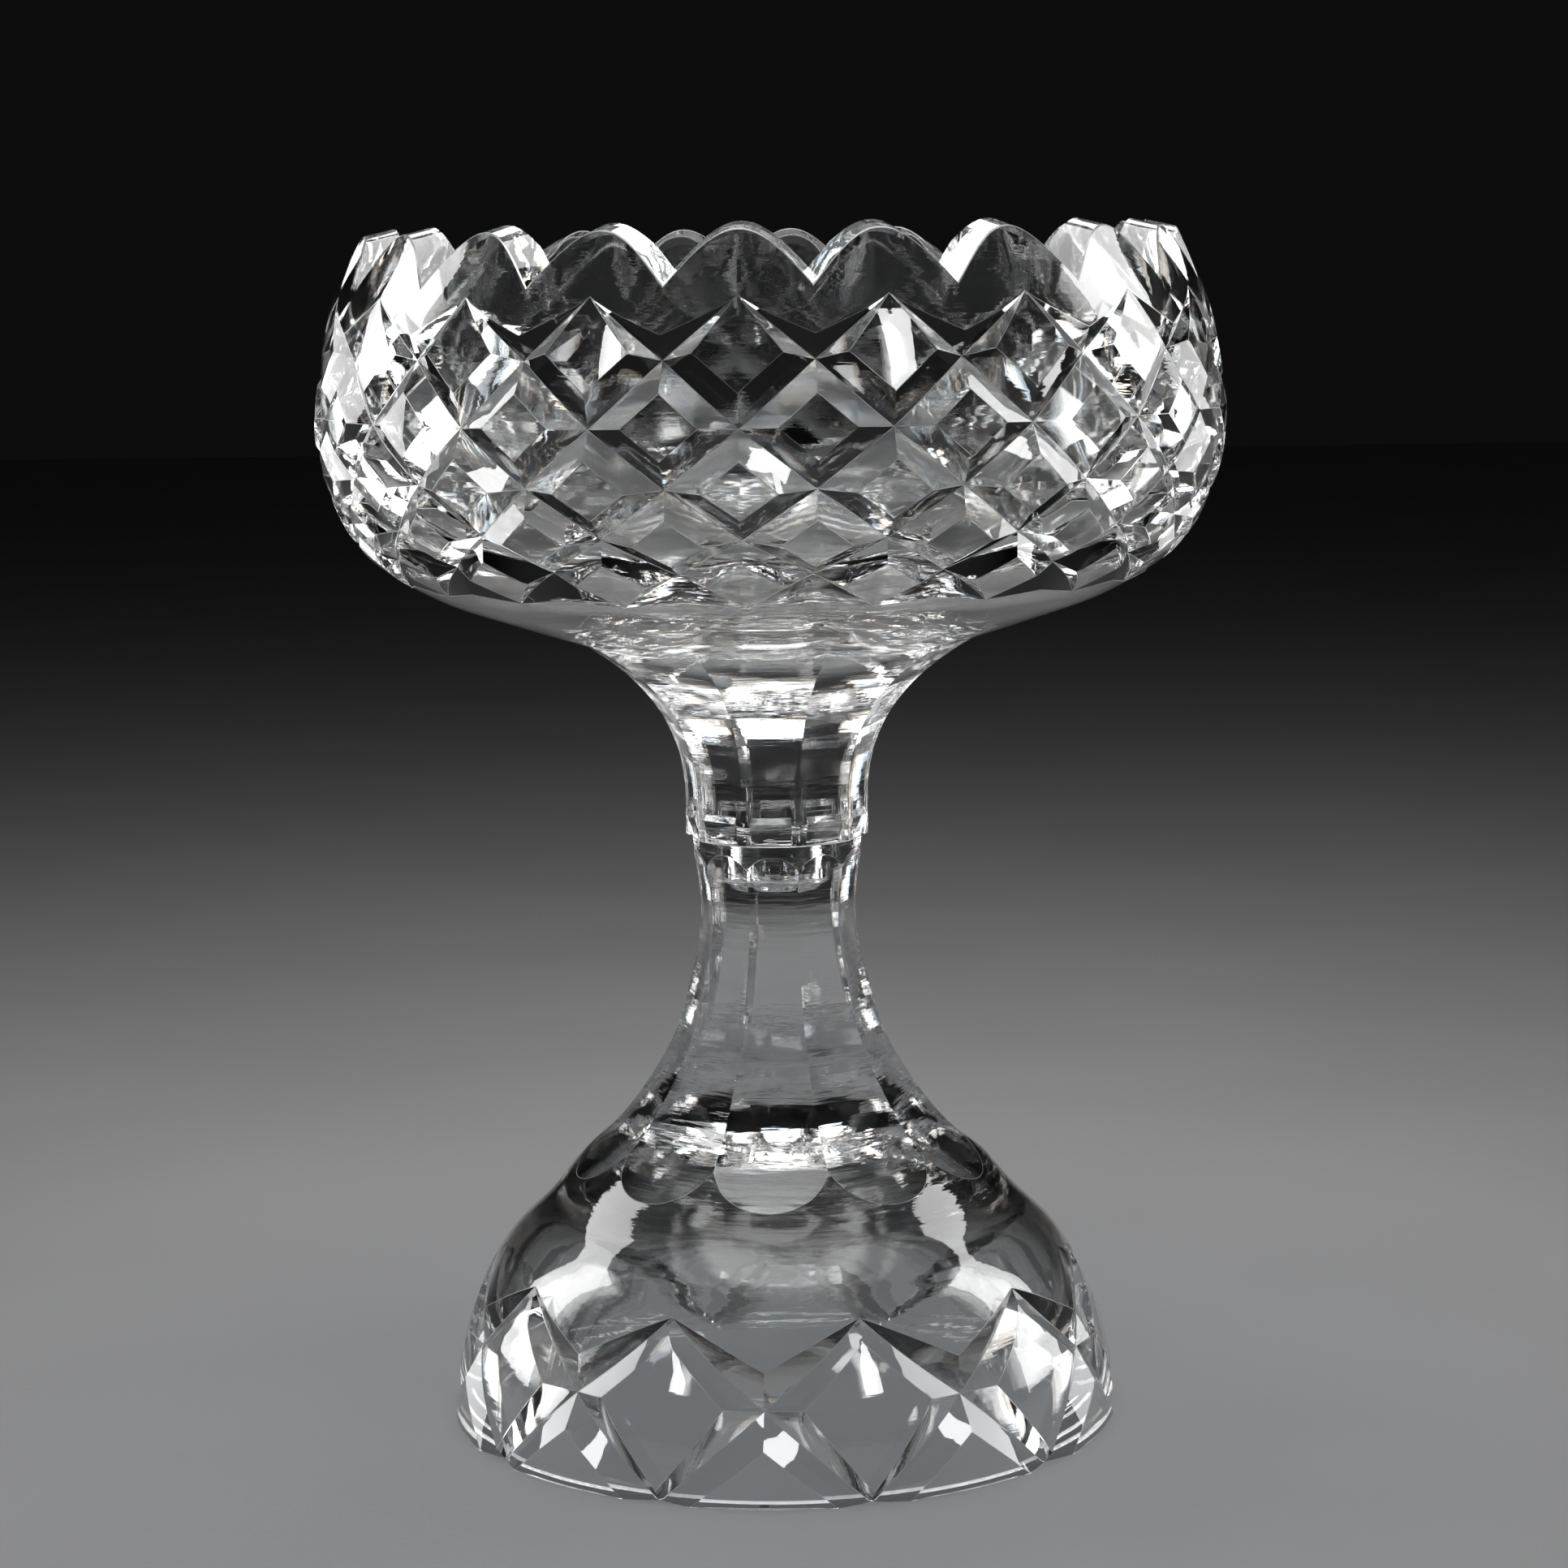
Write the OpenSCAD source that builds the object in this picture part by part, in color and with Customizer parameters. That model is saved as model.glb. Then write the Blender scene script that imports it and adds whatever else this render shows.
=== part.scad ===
// Punch bowl of cut crystal glass in two pieces: a deep bowl on its own short fluted stem, standing on a
// fluted stand with a hollow bell foot. A round peg under the bowl drops into a socket in the stand.

/* [Bowl] */
// Widest diameter of the bowl
bowl_d = 280; // [240:1:340]
// Diameter over the outer edge of the rim, at the top of a scallop
rim_d = 249; // [230:1:256]
// Height of the rim's outer edge above the joint, at the top of a scallop
rim_h = 187; // [170:1:230]
// Height of the widest level above the joint
belly_h = 128; // [110:1:150]
// Thickness of the bowl's wall
bowl_wall = 10.5; // [8:0.5:14]
// Thickness of glass between the flared neck's top edge and the bottom of the inside
floor_t = 5; // [4:0.5:12]
// Depth of the notches between the scallops
scallop_h = 15.5; // [8:0.5:20]
// How much higher the rim's inner edge is than its outer edge, for each millimetre of wall
rim_slope = 0.22; // [0:0.02:0.4]

/* [Bowl cutting] */
// Number of diamonds around the bowl, and of scallops around its rim
diamond_n = 20; // [10:2:28]
// Depth of the mitre cuts between the diamonds
diamond_cut = 3.8; // [2:0.2:5]

/* [Flared neck] */
// Diameter of the neck's sharp top edge, where it meets the underside of the bowl
neck_top_d = 131; // [110:1:150]
// Height of that edge above the joint
neck_h = 63.5; // [50:0.5:75]
// Diameter of the neck at its narrowest
neck_d = 57.4; // [54:0.2:64]
// Diameter of both pieces at the joint
joint_d = 53; // [50:0.5:58]

/* [Stand] */
// Height of the stand, from the floor to the joint
stand_h = 184; // [160:1:230]
// Diameter of the foot at the floor
foot_d = 210.4; // [180:1:250]
// Diameter of the stem at its narrowest
waist_d = 49.2; // [44:0.2:54]
// Thickness of the foot's wall
foot_wall = 8; // [6:0.5:11]
// Height of the top of the foot's hollow above the floor
hollow_h = 91; // [70:1:100]

/* [Stand cutting] */
// Number of flutes around each stem, and of long diamonds around the foot
flute_n = 10; // [8:2:12]
// Depth of the long mitre cuts on the foot
foot_cut = 3.6; // [2:0.2:4.4]
// Height of the upper points of the foot's cuts
cut_top_h = 52.4; // [40:0.2:60]
// Height at which the foot's cuts cross
cut_cross_h = 28.5; // [20:0.5:36]

/* [Joint] */
// Diameter of the peg under the bowl
peg_d = 24; // [16:0.5:30]
// Length of the peg, with its domed end
peg_l = 16; // [10:0.5:24]
// Height of the peg's domed end
dome_h = 4; // [2:0.5:6]
// Gap between the peg and its socket, all round and below
peg_gap = 0.3; // [0.2:0.05:0.6]

/* [Hidden] */

// Columns of points from the middle of a diamond to its side, and all round the bowl
half_n = 4;
column_n = 2 * half_n * diamond_n;
// Angle between a flute's middle and its edge
flute_half = 180 / flute_n;
// The edges between flutes stand this far inside the round blank
flute_sink = 0.2;
// Half of the angle of a mitre wheel's edge
mitre_half = 65;
// Depth of the foot's cuts at their upper points, so that two of them meet there
cut_start = 0.3;
// How far the solids of those cuts stand clear of the glass
cut_clear = 3;
// Where the flutes run out on the bell: at their middles, and at the edges between them
run_out_z = stand_h * 0.432;
edge_end_z = stand_h * 0.481;
// How far below the joint the stand's flutes are at their full width
flute_top = 8;
// How far above the joint the neck's flutes stop being upright
flute_upright = 14;
// Sharpness of true curves
$fn = 96;

// ---- Smooth lines ----

function mix(a, b, t) = a + (b - a) * t;

// Slope of a smooth line at point i, in length along the line
function line_slope(p, i) =
    let (last = len(p) - 1)
    let (before = i > 0 ? norm(p[i] - p[i - 1]) : 1)
    let (after = i < last ? norm(p[i + 1] - p[i]) : 1)
    i == 0 ? (p[1] - p[0]) / after
    : i == last ? (p[last] - p[last - 1]) / before
    : ((p[i] - p[i - 1]) * after / before + (p[i + 1] - p[i]) * before / after) / (before + after);

// Point at t from 0 to 1 between points i and i + 1
function line_point(p, i, t) =
    let (d = norm(p[i + 1] - p[i]))
    p[i] * (2 * t ^ 3 - 3 * t ^ 2 + 1) + line_slope(p, i) * d * (t ^ 3 - 2 * t ^ 2 + t)
    + p[i + 1] * (3 * t ^ 2 - 2 * t ^ 3) + line_slope(p, i + 1) * d * (t ^ 3 - t ^ 2);

// A smooth line through all of the points p, with n pieces between each two
function smooth_line(p, n) = concat(
    [for (i = [0:len(p) - 2]) for (k = [0:n - 1]) line_point(p, i, k / n)],
    [p[len(p) - 1]]
);

// Radius at height z on a line of [radius, height] points that rises all the way
function radius_on(line, z) = lookup(z, [for (p = line) [p[1], p[0]]]);

// Outward normal, as [radius, height], at height z on such a line
function normal_on(line, z) =
    let (step = 0.5)
    let (lean = (radius_on(line, z + step) - radius_on(line, z - step)) / (2 * step))
    [1, -lean] / sqrt(1 + lean ^ 2);

// ---- Bowl outlines, as [radius, height] from the neck's top edge up ----

neck_z = stand_h + neck_h;
belly_z = stand_h + belly_h;
rim_z = stand_h + rim_h;

function low_wall(part_r, part_z) = [mix(neck_top_d, bowl_d, part_r) / 2, mix(neck_z, belly_z, part_z)];
function high_wall(part_r, part_z) = [mix(rim_d, bowl_d, part_r) / 2, mix(belly_z, rim_z, part_z)];

bowl_line = smooth_line([
    low_wall(0, 0), low_wall(0.24, 0.09), low_wall(0.56, 0.23), low_wall(0.82, 0.44), low_wall(0.95, 0.72),
    low_wall(1, 1), high_wall(0.9, 0.27), high_wall(0.6, 0.64), high_wall(0, 1),
], 6);

// The wall proper starts at this radius; nearer the middle the inside is a nearly flat floor
wall_start_r = bowl_d * 0.3;
// How much the floor has risen half way out to the wall
floor_rise = 1.6;
inside_wall = [
    for (p = bowl_line) if (p[0] > wall_start_r) p - bowl_wall * normal_on(bowl_line, min(p[1], rim_z - 1))
];
inside_line = concat(
    smooth_line([
        [0, neck_z + floor_t], [wall_start_r / 2, neck_z + floor_t + floor_rise], inside_wall[0],
    ], 6),
    [for (i = [1:len(inside_wall) - 1]) inside_wall[i]]
);

// Heights of the rows where the bowl's cuts cross, from the upper tips down
row_parts = [0.854, 0.717, 0.563, 0.417, 0.296, 0.206, 0.146];
row_n = len(row_parts) - 1;
function row_z(row) = mix(neck_z, rim_z, lookup(row, [for (i = [0:row_n]) [i, row_parts[i]]]));

// ---- Cut outside of the bowl ----

// Place of a point at angle a, height z and depth below the blank
function wall_point(a, z, depth) =
    let (p = [radius_on(bowl_line, z), z] - depth * normal_on(bowl_line, z))
    [p[0] * cos(a), p[0] * sin(a), p[1]];

// How far column c is from the nearest scallop's peak, from 0 at the peak to 1 at the notch
function from_peak(c) = abs((c + half_n) % (2 * half_n) - half_n) / half_n;

// Height of the rim's outer edge
function rim_edge_z(x) = rim_z - scallop_h * (1 - cos(90 * x));

// A point on row number row, as a fraction, and as deep as part of a full cut
function cut_point(a, row, part) = wall_point(a, row_z(row), diamond_cut * part);

// Row at which the uppermost cuts reach the plain band under the rim: a zigzag from tip to notch
function zigzag_row(x) = 0.62 * x ^ 0.85;

// Row at which the lowest cuts reach the plain underside: shallow chevrons
function chevron_row(x) = row_n - 0.25 * x;

// How deep the cut between row k and the next one is: it fades out at the upper and the lower tips
function valley_part(k, x) = k == 0 || k == row_n - 1 ? x : 1;

// The two edges of the flat diamond centred on row k, at s from its middle, 0 to 1; they meet at 0.5
function table_top(a, k, s, open) =
    s < 0.5 ? cut_point(a, k - (open ? 1 - 2 * s : 0.5 - s), 0) : cut_point(a, k, 2 * s - 1);
function table_low(a, k, s, open) =
    s < 0.5 ? cut_point(a, k + (open ? 1 - 2 * s : 0.5 - s), 0) : cut_point(a, k, 2 * s - 1);

// Points of column c from deep inside the hollow over the rim's face and down to the underside
function bowl_column(c) =
    let (a = 360 * c / column_n)
    let (x = from_peak(c))
    let (edge_z = rim_edge_z(x))
    let (edge = wall_point(a, edge_z, 0))
    let (face_w = 2 * bowl_wall)
    let (inner_r = norm([edge[0], edge[1]]) - face_w)
    let (core_r = bowl_d / 4)
    concat(
        [
            [core_r * cos(a), core_r * sin(a), belly_z],
            [inner_r * cos(a), inner_r * sin(a), edge_z + face_w * rim_slope],
            edge,
            wall_point(a, mix(edge_z, row_z(zigzag_row(x)), 0.5), 0),
            cut_point(a, zigzag_row(x), 0),
        ],
        [
            for (k = [0:row_n - 1])
                let (even = k % 2 == 0)
                let (next = k + 1)
                let (s = even ? x : 1 - x)
                each concat(
                    [cut_point(a, even ? k + x : next - x, valley_part(k, x))],
                    next < row_n
                        ? [table_top(a, next, s, next == 1), table_low(a, next, s, next == row_n - 1)]
                        : []
                )
        ],
        [cut_point(a, chevron_row(x), 0)],
        [for (t = [1:3]) wall_point(a, mix(row_z(chevron_row(x)), neck_z, t / 3), 0)],
        [underside_end(a)]
    );

// The underside runs on straight past the neck's top edge, to end inside the neck's own glass
function underside_end(a) =
    let (flat = normal_on(bowl_line, neck_z + 1))
    let (run = neck_top_d * 0.12)
    let (r = neck_top_d / 2 - run)
    [r * cos(a), r * sin(a), neck_z + run * flat[0] / flat[1]];

// First row of column c that holds the same point as row m, so that points that meet are one
function first_same(columns, c, m) =
    m > 0 && columns[c][m] == columns[c][m - 1] ? first_same(columns, c, m - 1) : m;

// A closed skin over columns of points, with flat ends
module skin(columns) {
    n = len(columns);
    rows = len(columns[0]);
    index = [for (c = [0:n - 1]) [for (m = [0:rows - 1]) c * rows + first_same(columns, c, m)]];
    triangles = [
        for (c = [0:n - 1])
            for (m = [0:rows - 2])
                let (d = (c + 1) % n)
                let (quad = [index[c][m], index[d][m], index[d][m + 1], index[c][m + 1]])
                each floor(c / half_n) % 2 == 0
                    ? [[quad[0], quad[1], quad[3]], [quad[1], quad[2], quad[3]]]
                    : [[quad[0], quad[1], quad[2]], [quad[0], quad[2], quad[3]]]
    ];
    real = [for (t = triangles) if (t[0] != t[1] && t[1] != t[2] && t[2] != t[0]) t];
    top = [for (c = [n - 1:-1:0]) index[c][0]];
    bottom = [for (c = [0:n - 1]) index[c][rows - 1]];
    polyhedron([for (col = columns) each col], concat(real, [top, bottom]));
}

module bowl_blank() {
    skin([for (c = [0:column_n - 1]) bowl_column(c)]);
}

// The hollow inside of the bowl, open upwards
module bowl_inside() {
    mouth_r = inside_line[len(inside_line) - 1][0];
    above_z = rim_z + 2 * scallop_h;
    rotate_extrude() polygon(concat(inside_line, [[mouth_r, above_z], [0, above_z]]));
}

// ---- Flutes ----

// A slab as wide as two opposite flutes are apart, for a line of [half width, height] points
module flute_slab(line) {
    reach = max([for (p = line) p[0]]) * 2;
    left = [for (i = [len(line) - 1:-1:0]) [-line[i][0], line[i][1]]];
    rotate([90, 0, 0]) linear_extrude(reach, center = true) polygon(concat(line, left));
}

// What lies inside all of the flutes, one of which faces -Y
module fluted(line) {
    intersection_for (k = [0:flute_n / 2 - 1]) rotate(-90 + 2 * flute_half * k) flute_slab(line);
}

// Half width of a flute's slab that leaves edges just inside a blank of radius r
function flute_r(r) = r * cos(flute_half) - flute_sink;

// ---- Neck under the bowl ----

neck_line = smooth_line([
    [joint_d / 2, stand_h], [joint_d / 2 + 0.4, stand_h + 2.4], [neck_d / 2 - 0.1, stand_h + 7],
    [neck_d / 2 + 0.2, stand_h + 16], [mix(neck_d, neck_top_d, 0.06) / 2, stand_h + neck_h * 0.43],
    [mix(neck_d, neck_top_d, 0.18) / 2, stand_h + neck_h * 0.59],
    [mix(neck_d, neck_top_d, 0.42) / 2, stand_h + neck_h * 0.765],
    [mix(neck_d, neck_top_d, 0.755) / 2, stand_h + neck_h * 0.915],
    [neck_top_d / 2, neck_z], [neck_top_d / 2 + 3.2, neck_z + 2],
], 4);

module neck() {
    top = neck_line[len(neck_line) - 1];
    flare = [for (p = neck_line) if (p[1] > stand_h + flute_upright) [flute_r(p[0]), p[1]]];
    intersection() {
        rotate_extrude() polygon(concat([[0, stand_h]], neck_line, [[0, top[1]]]));
        fluted(concat([[flute_r(neck_d / 2), stand_h - 1]], flare, [[flute_r(top[0]), top[1] + 1]]));
    }
}

// ---- Peg and socket ----

// A round peg with a domed lower end, hanging from height z, and longer by over at its top
module peg(r, l, z, over) {
    ball_r = (r ^ 2 + dome_h ^ 2) / (2 * dome_h);
    intersection() {
        translate([0, 0, z - l]) cylinder(r = r, h = l + over);
        translate([0, 0, z - l + ball_r]) union() {
            sphere(r = ball_r);
            cylinder(r = r + 1, h = l + over);
        }
        translate([0, 0, z - l]) cylinder(r = r + 1, h = l + over);
    }
}

module bowl() {
    color([0.9, 0.93, 0.95]) {
        difference() {
            union() {
                bowl_blank();
                neck();
            }
            bowl_inside();
        }
        peg(peg_d / 2, peg_l, stand_h, 1);
    }
}

// ---- Stand ----

foot_r = foot_d / 2;
waist_r = waist_d / 2;

function bell(part_r, part_z) = [mix(waist_r, foot_r, part_r), mix(0, stand_h, part_z)];

stand_line = smooth_line([
    [foot_r, 0], bell(0.966, 0.12), bell(0.9, 0.207), bell(0.787, 0.299), bell(0.615, 0.375),
    bell(0.48, 0.446), bell(0.317, 0.516), bell(0.208, 0.58), bell(0.103, 0.663), bell(0.046, 0.75),
    bell(0.01, 0.815), [waist_r, stand_h * 0.89], [joint_d / 2 - 0.7, stand_h - 9], [joint_d / 2, stand_h],
], 4);

// Outline of the flutes: clear of the foot, in at the run-out, up the stem, and out again below the joint
clear_r = foot_r * 1.3;
flute_line = concat(
    [[clear_r, -1], [clear_r, run_out_z / 2], [radius_on(stand_line, run_out_z), run_out_z]],
    [
        for (p = stand_line)
            if (p[1] > edge_end_z && p[1] < stand_h - flute_top) [flute_r(p[0]), p[1]]
    ],
    [[joint_d / 2 - 0.1, stand_h - 3.6], [joint_d / 2 + 3, stand_h - 1], [joint_d / 2 + 3, stand_h + 1]]
);

module stand_blank() {
    intersection() {
        rotate_extrude() polygon(concat([[0, 0]], stand_line, [[0, stand_h]]));
        fluted(flute_line);
    }
}

// The foot's hollow, open downwards: it follows the wall up to crown_start, and then closes in a round crown
module foot_hollow() {
    crown_start = hollow_h * 0.7;
    wall = [
        for (p = stand_line) if (p[1] < crown_start) p - foot_wall * normal_on(stand_line, max(p[1], 1))
    ];
    last = wall[len(wall) - 1];
    shoulder = [last[0] * 0.72, mix(last[1], hollow_h, 0.5)];
    near_top = [last[0] * 0.4, mix(last[1], hollow_h, 0.87)];
    crown = smooth_line([last, shoulder, near_top, [0, hollow_h]], 5);
    side = [for (i = [1:len(wall) - 2]) wall[i]];
    rotate_extrude() polygon(concat([[0, -1], [foot_r - foot_wall, -1]], side, crown));
}

// Height of a foot cut's path at t, from 0 at its upper point to 1 at the floor
function cut_path_z(t) =
    t < 0.5 ? mix(cut_top_h, cut_cross_h, 2 * t) : mix(cut_cross_h, 0, 2 * t - 1);

// Point at t on the blank above a cut that turns from angle from to angle to
function cut_path(t, from, to) =
    let (z = cut_path_z(t))
    let (a = mix(from, to, t))
    let (r = radius_on(stand_line, max(z, 0)))
    [r * cos(a), r * sin(a), z];

// Depth of a cut at t: it starts just above its upper point and is full from the crossing down
function cut_depth(t) = cut_start + foot_cut * (t < 0.5 ? 1 - (1 - 2 * t) ^ 2 : 1);

// The V of the cut at t: its valley and its two upper edges, which stand clear of the blank
function cut_section(t, from, to) =
    let (p = cut_path(t, from, to))
    let (flat = normal_on(stand_line, max(p[2], 1)))
    let (a = mix(from, to, t))
    let (out = [flat[0] * cos(a), flat[0] * sin(a), flat[1]])
    let (along = cut_path(t + 0.01, from, to) - cut_path(t - 0.01, from, to))
    let (side = cross(out, along) / norm(cross(out, along)))
    let (half_w = (cut_depth(t) + cut_clear) * tan(mitre_half))
    let (edge = p + cut_clear * out)
    [p - cut_depth(t) * out, edge - half_w * side, edge + half_w * side];

// One long cut on the foot, made as the solid that the wheel takes away
module foot_groove(from, to) {
    steps = 10;
    sections = [for (k = [-1:steps + 1]) cut_section(k / steps, from, to)];
    last = 3 * (len(sections) - 1);
    sides = [
        for (i = [0:3:last - 3])
            for (e = [0:2])
                let (f = (e + 1) % 3)
                each [[i + e, i + f, i + e + 3], [i + f, i + f + 3, i + e + 3]]
    ];
    polyhedron([for (s = sections) each s], concat(sides, [[2, 1, 0], [last, last + 1, last + 2]]));
}

module stand() {
    color([0.88, 0.92, 0.95]) difference() {
        stand_blank();
        foot_hollow();
        for (k = [0:flute_n - 1]) {
            top_a = -90 + flute_half * (2 * k + 1);
            foot_groove(top_a, top_a + 2 * flute_half);
            foot_groove(top_a, top_a - 2 * flute_half);
        }
        peg(peg_d / 2 + peg_gap, peg_l + peg_gap, stand_h, 1);
    }
}

bowl();
stand();
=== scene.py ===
"""Cut crystal punch bowl: a scalloped, diamond-cut bowl that lifts off a fluted stand with a bell foot."""

import math

import bpy
import numpy as np
from bpy.props import FloatProperty, FloatVectorProperty, IntProperty, PointerProperty
from mathutils import Euler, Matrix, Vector


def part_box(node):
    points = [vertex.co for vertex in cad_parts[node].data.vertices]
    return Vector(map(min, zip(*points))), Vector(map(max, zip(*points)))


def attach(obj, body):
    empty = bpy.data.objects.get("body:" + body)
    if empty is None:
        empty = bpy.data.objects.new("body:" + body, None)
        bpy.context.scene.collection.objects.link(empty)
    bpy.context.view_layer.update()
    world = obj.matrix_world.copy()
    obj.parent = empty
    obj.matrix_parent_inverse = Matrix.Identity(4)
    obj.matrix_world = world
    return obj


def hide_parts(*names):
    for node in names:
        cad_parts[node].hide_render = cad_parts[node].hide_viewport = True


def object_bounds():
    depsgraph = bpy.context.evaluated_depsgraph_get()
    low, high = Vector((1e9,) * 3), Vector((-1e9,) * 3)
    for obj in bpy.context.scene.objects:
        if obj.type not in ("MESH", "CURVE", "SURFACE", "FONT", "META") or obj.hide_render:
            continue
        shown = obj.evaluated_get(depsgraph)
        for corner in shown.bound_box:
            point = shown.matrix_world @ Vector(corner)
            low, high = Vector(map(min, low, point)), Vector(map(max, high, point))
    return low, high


bl_info = {
    "name": "Crystal Punch Bowl",
    "version": (1, 0, 0),
    "blender": (4, 5, 0),
    "location": "View3D > Sidebar > Punch Bowl",
    "description": "Builds a cut crystal punch bowl in two pieces, with its material and a studio",
    "category": "Add Mesh",
}

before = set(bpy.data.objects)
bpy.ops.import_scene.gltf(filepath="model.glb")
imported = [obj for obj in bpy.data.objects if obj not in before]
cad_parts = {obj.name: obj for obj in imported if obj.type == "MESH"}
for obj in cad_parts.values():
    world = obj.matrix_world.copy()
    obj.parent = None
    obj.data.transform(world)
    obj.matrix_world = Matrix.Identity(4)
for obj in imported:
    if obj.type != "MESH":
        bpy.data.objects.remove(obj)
cad_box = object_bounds()

# The joint is at the top of the stand; the foot stands on the floor at height 0.
JOINT_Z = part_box("stand")[1].z
PEG_END_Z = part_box("bowl")[0].z
MM = 0.001

# Edges that turn by more than this stay sharp
CREASE = math.radians(9)
# Places of the two finishes in each piece's list of materials
FACE_FINISH, EDGE_FINISH = 0, 1
# Width of a worn cut edge on each of its sides, and of the joint's, the rim's and the foot's
CUT_EDGE = 0.12 * MM
JOINT_EDGE = 0.3 * MM
RIM_EDGE = 0.4 * MM
FOOT_EDGE = 0.8 * MM
# Air left between the two seats
SEAT_GAP = 0.05 * MM
# Height of the peg's domed end, and the room round it in the socket
DOME_H = 4 * MM
PEG_GAP = 0.3 * MM
# How deep a flute's middle is hollowed below flat
FLUTE_HOLLOW = 0.3 * MM
# The edges between flutes stand this far inside the round blank
FLUTE_SINK = 0.2 * MM
# Heights at which the stand's flutes run out on the bell: at their middles, and at the edges between them
RUN_OUT_Z = 0.432 * JOINT_Z
EDGE_END_Z = 0.481 * JOINT_Z


# ---- Sizes and colours a user may change ----


class BowlSizes(bpy.types.PropertyGroup):
    """Sizes of the bowl"""

    width: FloatProperty(
        name="Width", description="Widest diameter of the blank", default=0.280, unit="LENGTH"
    )
    rim_width: FloatProperty(
        name="Rim width",
        description="Diameter of the rim's outer edge, at the top of a scallop",
        default=0.249,
        unit="LENGTH",
    )
    rim_height: FloatProperty(
        name="Rim height",
        description="Height of the rim's outer edge above the joint",
        default=0.187,
        unit="LENGTH",
    )
    belly_height: FloatProperty(
        name="Belly height",
        description="Height of the widest level above the joint",
        default=0.128,
        unit="LENGTH",
    )
    wall: FloatProperty(name="Wall", description="Thickness of the wall", default=0.0105, unit="LENGTH")
    floor: FloatProperty(
        name="Floor",
        description="Glass between the neck's top edge and the bottom of the inside",
        default=0.005,
        unit="LENGTH",
    )
    scallop: FloatProperty(
        name="Scallop", description="Depth of the notches in the rim", default=0.0155, unit="LENGTH"
    )
    rim_rise: FloatProperty(
        name="Rim rise", description="Rise of the rim's face towards the inside, as a slope", default=0.22
    )
    diamonds: IntProperty(name="Diamonds", description="Number of diamonds around the bowl", default=20)
    cut: FloatProperty(name="Cut", description="Depth of the mitre cuts", default=0.0038, unit="LENGTH")
    neck_top: FloatProperty(
        name="Neck top", description="Diameter of the neck's upper edge", default=0.131, unit="LENGTH"
    )
    neck_height: FloatProperty(
        name="Neck height", description="Height of that edge above the joint", default=0.0635, unit="LENGTH"
    )
    neck: FloatProperty(
        name="Neck", description="Diameter of the neck at its narrowest", default=0.0574, unit="LENGTH"
    )
    peg: FloatProperty(name="Peg", description="Diameter of the peg", default=0.024, unit="LENGTH")


class StandSizes(bpy.types.PropertyGroup):
    """Sizes of the stand"""

    foot: FloatProperty(
        name="Foot", description="Diameter of the foot at the floor", default=0.2104, unit="LENGTH"
    )
    waist: FloatProperty(
        name="Waist", description="Diameter of the stem at its narrowest", default=0.0492, unit="LENGTH"
    )
    joint: FloatProperty(
        name="Joint", description="Diameter of both pieces where they meet", default=0.053, unit="LENGTH"
    )
    wall: FloatProperty(name="Wall", description="Thickness of the foot's wall", default=0.008, unit="LENGTH")
    hollow: FloatProperty(
        name="Hollow", description="Height of the hollow's top above the floor", default=0.091, unit="LENGTH"
    )
    flutes: IntProperty(name="Flutes", description="Number of flutes around each stem", default=10)
    cut: FloatProperty(name="Cut", description="Depth of the foot's long cuts", default=0.0036, unit="LENGTH")
    cut_top: FloatProperty(
        name="Cut top", description="Height of the cuts' upper points", default=0.0524, unit="LENGTH"
    )
    cut_cross: FloatProperty(
        name="Cut crossing", description="Height at which the cuts cross", default=0.0285, unit="LENGTH"
    )


class CrystalFinish(bpy.types.PropertyGroup):
    """Colour and polish of the glass"""

    tint: FloatVectorProperty(
        name="Tint", description="Colour of the glass", subtype="COLOR", default=(0.99, 0.995, 1.0)
    )
    ior: FloatProperty(name="Bending", description="Refractive index of lead crystal", default=1.56)
    fire: FloatProperty(
        name="Fire", description="How far apart the two mixed glasses' indices are", default=0.08
    )
    smear: FloatProperty(name="Smear", description="Roughness of the least polished spots", default=0.03)
    edge_wear: FloatProperty(
        name="Edge wear", description="Roughness of the edges between facets", default=0.35
    )


class StageSizes(bpy.types.PropertyGroup):
    """Floor, lights and camera"""

    distance: FloatProperty(
        name="Distance", description="From the camera to the bowl's axis", default=1.133, unit="LENGTH"
    )
    height: FloatProperty(
        name="Height", description="Camera's height above the floor", default=0.361, unit="LENGTH"
    )
    aside: FloatProperty(
        name="Aside", description="How far to its right the camera stands", default=0.0024, unit="LENGTH"
    )
    turn: FloatProperty(
        name="Turn", description="How far round the camera stands", default=math.radians(3.6), subtype="ANGLE"
    )
    tilt: FloatProperty(
        name="Tilt", description="How far the camera looks down", default=math.radians(8.1), subtype="ANGLE"
    )
    roll: FloatProperty(
        name="Roll", description="How far the camera leans over", default=math.radians(-0.83), subtype="ANGLE"
    )
    floor_colour: FloatVectorProperty(
        name="Floor", description="Colour of the floor", subtype="COLOR", default=(0.62, 0.62, 0.63)
    )


# ---- Smooth lines of [radius, height] ----


def mix(a, b, t):
    """The value t of the way from a to b."""
    return a + (b - a) * t


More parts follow.
